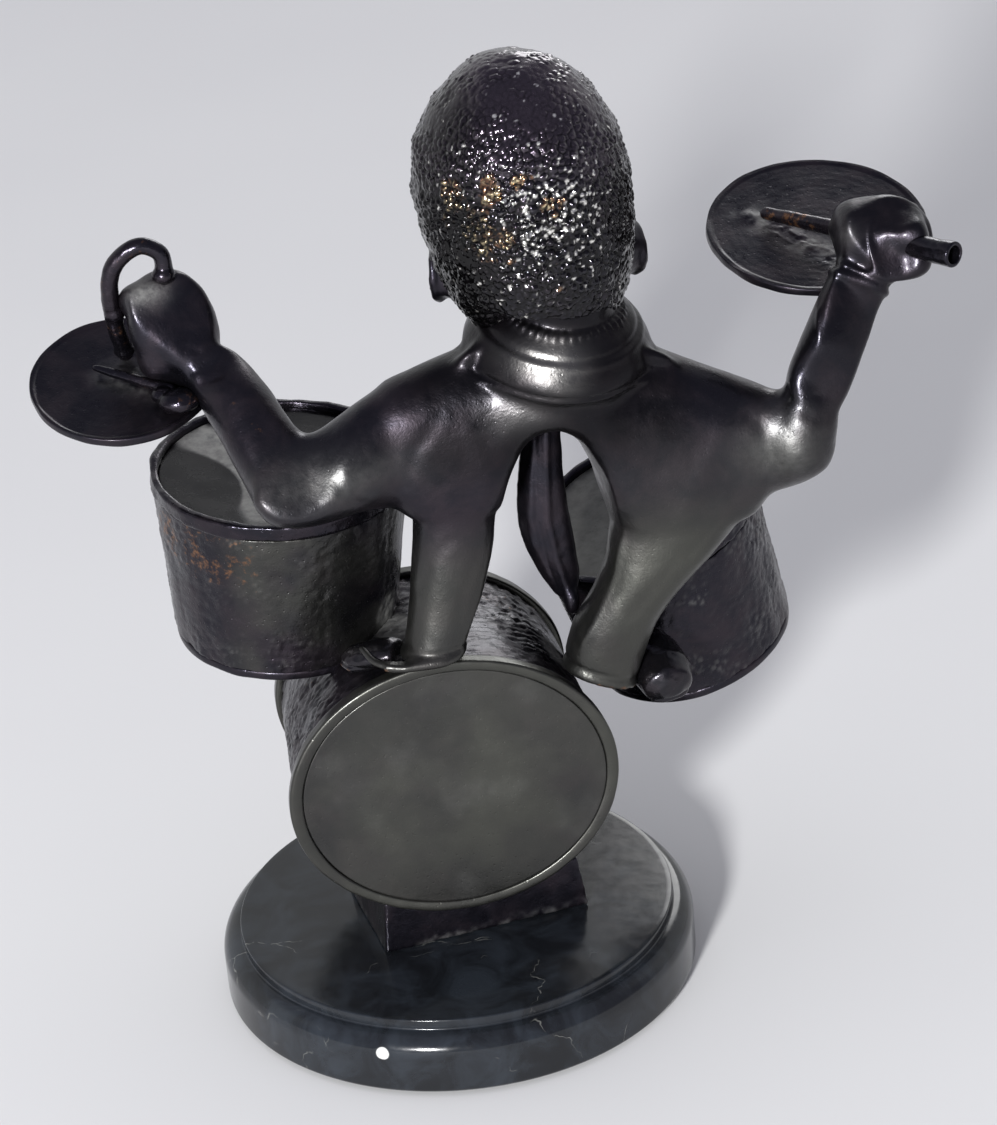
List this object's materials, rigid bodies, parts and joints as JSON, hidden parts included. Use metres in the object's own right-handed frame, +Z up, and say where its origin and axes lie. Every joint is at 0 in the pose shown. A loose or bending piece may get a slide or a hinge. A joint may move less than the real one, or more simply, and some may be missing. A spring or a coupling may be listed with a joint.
{
  "type": "drummer statuette",
  "caption": "Cast bronze statuette of a drummer in a suit, with a bass drum, side drums, cymbals and sticks, bolted to a round stepped marble base.",
  "frame": {"origin": "centre of the felt's underside, where the statuette stands", "axes": "+Z up, the drummer faces -Y, +X is the drummer's left"},
  "size_m": [0.2719, 0.15, 0.303],
  "materials": {
    "marble": "polished black marble with fine white veins",
    "felt": "dark green felt",
    "stud_steel": "plain threaded steel",
    "washer_steel": "plain steel",
    "nut_steel": "plain steel",
    "block_bronze": "dark brown-black patinated bronze, semi-gloss",
    "bass_shell_bronze": "dark patinated bronze, rough textured, worn to copper brown on high spots",
    "rear_hoop_bronze": "dark brown-black patinated bronze, semi-gloss",
    "front_hoop_bronze": "dark brown-black patinated bronze, semi-gloss",
    "rear_skin_bronze": "grey-green satin patina",
    "front_skin_bronze": "grey-green satin patina",
    "left_shell_bronze": "dark patinated bronze, rough textured, worn to copper brown on high spots",
    "left_rim_bronze": "dark brown-black patinated bronze, semi-gloss",
    "left_skin_bronze": "grey satin patina",
    "left_base_bronze": "dark brown-black patinated bronze, semi-gloss",
    "left_cymbal_bronze": "dark brown-black patinated bronze, semi-gloss",
    "left_hand_bronze": "dark brown-black patinated bronze, semi-gloss",
    "left_jacket_bronze": "smooth dark patinated bronze, semi-gloss",
    "left_upper_arm_bronze": "dark brown-black patinated bronze, semi-gloss",
    "left_forearm_bronze": "dark brown-black patinated bronze, semi-gloss",
    "left_leg_bronze": "smooth dark patinated bronze with an olive sheen",
    "left_shoe_bronze": "dark brown-black patinated bronze, semi-gloss",
    "right_shell_bronze": "dark patinated bronze, rough textured, worn to copper brown on high spots",
    "right_rim_bronze": "dark brown-black patinated bronze, semi-gloss",
    "right_skin_bronze": "grey satin patina",
    "right_base_bronze": "dark brown-black patinated bronze, semi-gloss",
    "right_cymbal_bronze": "dark brown-black patinated bronze, semi-gloss",
    "right_hand_bronze": "dark brown-black patinated bronze, semi-gloss",
    "right_jacket_bronze": "smooth dark patinated bronze, semi-gloss",
    "right_upper_arm_bronze": "dark brown-black patinated bronze, semi-gloss",
    "right_forearm_bronze": "dark brown-black patinated bronze, semi-gloss",
    "right_leg_bronze": "smooth dark patinated bronze with an olive sheen",
    "right_shoe_bronze": "dark brown-black patinated bronze, semi-gloss",
    "stick_bronze": "dark patinated bronze, worn to orange bronze",
    "left_stick_bronze": "dark patinated bronze, worn",
    "loop_bronze": "dark brown-black patinated bronze, semi-gloss",
    "tie_bronze": "dark brown-black patinated bronze, semi-gloss",
    "collar_bronze": "dark patinated bronze, polished",
    "neck_bronze": "dark brown-black patinated bronze, semi-gloss",
    "face_bronze": "dark brown-black patinated bronze, semi-gloss",
    "hair_bronze": "granulated dark bronze, high spots rubbed to golden brass"
  },
  "bodies": {
    "root": {"marble_base": "marble", "felt_pad": "felt", "fixing_stud": "stud_steel", "fixing_washer": "washer_steel", "fixing_nut": "nut_steel", "foot_block": "block_bronze", "bass_drum_shell": "bass_shell_bronze", "bass_drum_rear_hoop": "rear_hoop_bronze", "bass_drum_front_hoop": "front_hoop_bronze", "bass_drum_rear_head": "rear_skin_bronze", "bass_drum_front_head": "front_skin_bronze", "left_drum_shell": "left_shell_bronze", "left_drum_rim": "left_rim_bronze", "left_drum_head": "left_skin_bronze", "left_drum_base": "left_base_bronze", "left_cymbal": "left_cymbal_bronze", "left_hand": "left_hand_bronze", "left_jacket": "left_jacket_bronze", "left_upper_arm": "left_upper_arm_bronze", "left_forearm": "left_forearm_bronze", "left_leg": "left_leg_bronze", "left_shoe": "left_shoe_bronze", "right_drum_shell": "right_shell_bronze", "right_drum_rim": "right_rim_bronze", "right_drum_head": "right_skin_bronze", "right_drum_base": "right_base_bronze", "right_cymbal": "right_cymbal_bronze", "right_hand": "right_hand_bronze", "right_jacket": "right_jacket_bronze", "right_upper_arm": "right_upper_arm_bronze", "right_forearm": "right_forearm_bronze", "right_leg": "right_leg_bronze", "right_shoe": "right_shoe_bronze", "right_stick": "stick_bronze", "left_stick": "left_stick_bronze", "cymbal_loop": "loop_bronze", "tie": "tie_bronze", "collar": "collar_bronze", "neck": "neck_bronze", "head": "face_bronze", "hair": "hair_bronze"}
  },
  "joints": []
}
